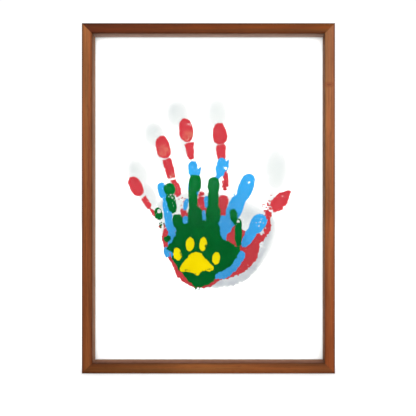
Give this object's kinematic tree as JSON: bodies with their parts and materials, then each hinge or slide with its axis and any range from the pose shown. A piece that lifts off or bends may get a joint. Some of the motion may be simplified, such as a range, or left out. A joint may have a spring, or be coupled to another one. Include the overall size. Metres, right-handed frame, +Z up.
{
  "type": "handprint picture frame",
  "caption": "Portrait wood picture frame holding nested family handprints and a paw print behind a clear front, with turn buttons, an easel leg and hanging rings at the back.",
  "frame": {"origin": "centre of the bottom rail's underside, at the middle of the moulding's depth", "axes": "+Z up the frame, -Y out of the picture towards the viewer, +X to the viewer's right"},
  "size_m": [0.224, 0.022, 0.31],
  "materials": {
    "wood_top": "satin varnish over dark brown stain",
    "wood_bottom": "satin varnish over brown stain",
    "wood_left": "satin varnish over brown stain",
    "wood_right": "satin varnish over lighter brown stain",
    "clear_pane": "clear, polished",
    "white_paper": "matt",
    "white_paint": "matt paint",
    "red_paint": "matt paint",
    "blue_paint": "matt paint",
    "green_paint": "matt paint",
    "yellow_paint": "matt paint",
    "grey_card": "raw",
    "fibreboard": "raw pressed fibreboard",
    "zinc_steel": "zinc plated",
    "hinge_steel": "nickel plated"
  },
  "bodies": {
    "frame": {"top_rail": "wood_top", "bottom_rail": "wood_bottom", "left_rail": "wood_left", "right_rail": "wood_right", "corner_v_nails": "zinc_steel", "clear_front": "clear_pane", "print_sheet": "white_paper", "handprint_white": "white_paint", "handprint_red": "red_paint", "handprint_blue": "blue_paint", "handprint_green": "green_paint", "pawprint_yellow": "yellow_paint", "filler_card": "grey_card", "back_board": "fibreboard", "button_screws": "zinc_steel", "leg_hinge_board_leaf": "hinge_steel", "leg_hinge_pin": "hinge_steel", "board_rivets": "hinge_steel", "portrait_hanger_strap": "hinge_steel", "landscape_hanger_strap": "hinge_steel", "hanger_rivets": "hinge_steel"},
    "button_left_low": {"turn_button_left_low": "zinc_steel"},
    "button_left_high": {"turn_button_left_high": "zinc_steel"},
    "button_right_low": {"turn_button_right_low": "zinc_steel"},
    "button_right_high": {"turn_button_right_high": "zinc_steel"},
    "button_bottom_left": {"turn_button_bottom_left": "zinc_steel"},
    "button_bottom_right": {"turn_button_bottom_right": "zinc_steel"},
    "button_top_left": {"turn_button_top_left": "zinc_steel"},
    "button_top_right": {"turn_button_top_right": "zinc_steel"},
    "leg": {"easel_leg": "fibreboard", "leg_hinge_leg_leaf": "hinge_steel", "leg_rivets": "hinge_steel"},
    "ring_portrait": {"portrait_ring": "hinge_steel"},
    "ring_landscape": {"landscape_ring": "hinge_steel"}
  },
  "joints": [
    {"name": "turn_left_low", "type": "hinge", "parent": "frame", "child": "button_left_low", "pos_m": [-0.1089, 0.00955, 0.0775], "axis": [0, 1, 0], "continuous": true},
    {"name": "turn_left_high", "type": "hinge", "parent": "frame", "child": "button_left_high", "pos_m": [-0.1089, 0.00955, 0.2325], "axis": [0, 1, 0], "continuous": true},
    {"name": "turn_right_low", "type": "hinge", "parent": "frame", "child": "button_right_low", "pos_m": [0.1089, 0.00955, 0.0775], "axis": [0, 1, 0], "continuous": true},
    {"name": "turn_right_high", "type": "hinge", "parent": "frame", "child": "button_right_high", "pos_m": [0.1089, 0.00955, 0.2325], "axis": [0, 1, 0], "continuous": true},
    {"name": "turn_bottom_left", "type": "hinge", "parent": "frame", "child": "button_bottom_left", "pos_m": [-0.056, 0.00955, 0.0031], "axis": [0, 1, 0], "range_deg": [-90, 90]},
    {"name": "turn_bottom_right", "type": "hinge", "parent": "frame", "child": "button_bottom_right", "pos_m": [0.056, 0.00955, 0.0031], "axis": [0, 1, 0], "range_deg": [-90, 90]},
    {"name": "turn_top_left", "type": "hinge", "parent": "frame", "child": "button_top_left", "pos_m": [-0.056, 0.00955, 0.3069], "axis": [0, 1, 0], "continuous": true},
    {"name": "turn_top_right", "type": "hinge", "parent": "frame", "child": "button_top_right", "pos_m": [0.056, 0.00955, 0.3069], "axis": [0, 1, 0], "continuous": true},
    {"name": "leg_open", "type": "hinge", "parent": "frame", "child": "leg", "pos_m": [0, 0.0105, 0.215], "axis": [1, 0, 0], "range_deg": [0, 30]},
    {"name": "portrait_ring_swing", "type": "hinge", "parent": "frame", "child": "ring_portrait", "pos_m": [0, 0.01027, 0.283], "axis": [1, 0, 0], "range_deg": [0, 180]},
    {"name": "landscape_ring_swing", "type": "hinge", "parent": "frame", "child": "ring_landscape", "pos_m": [0.09, 0.01027, 0.155], "axis": [0, 0, -1], "range_deg": [0, 180]}
  ]
}
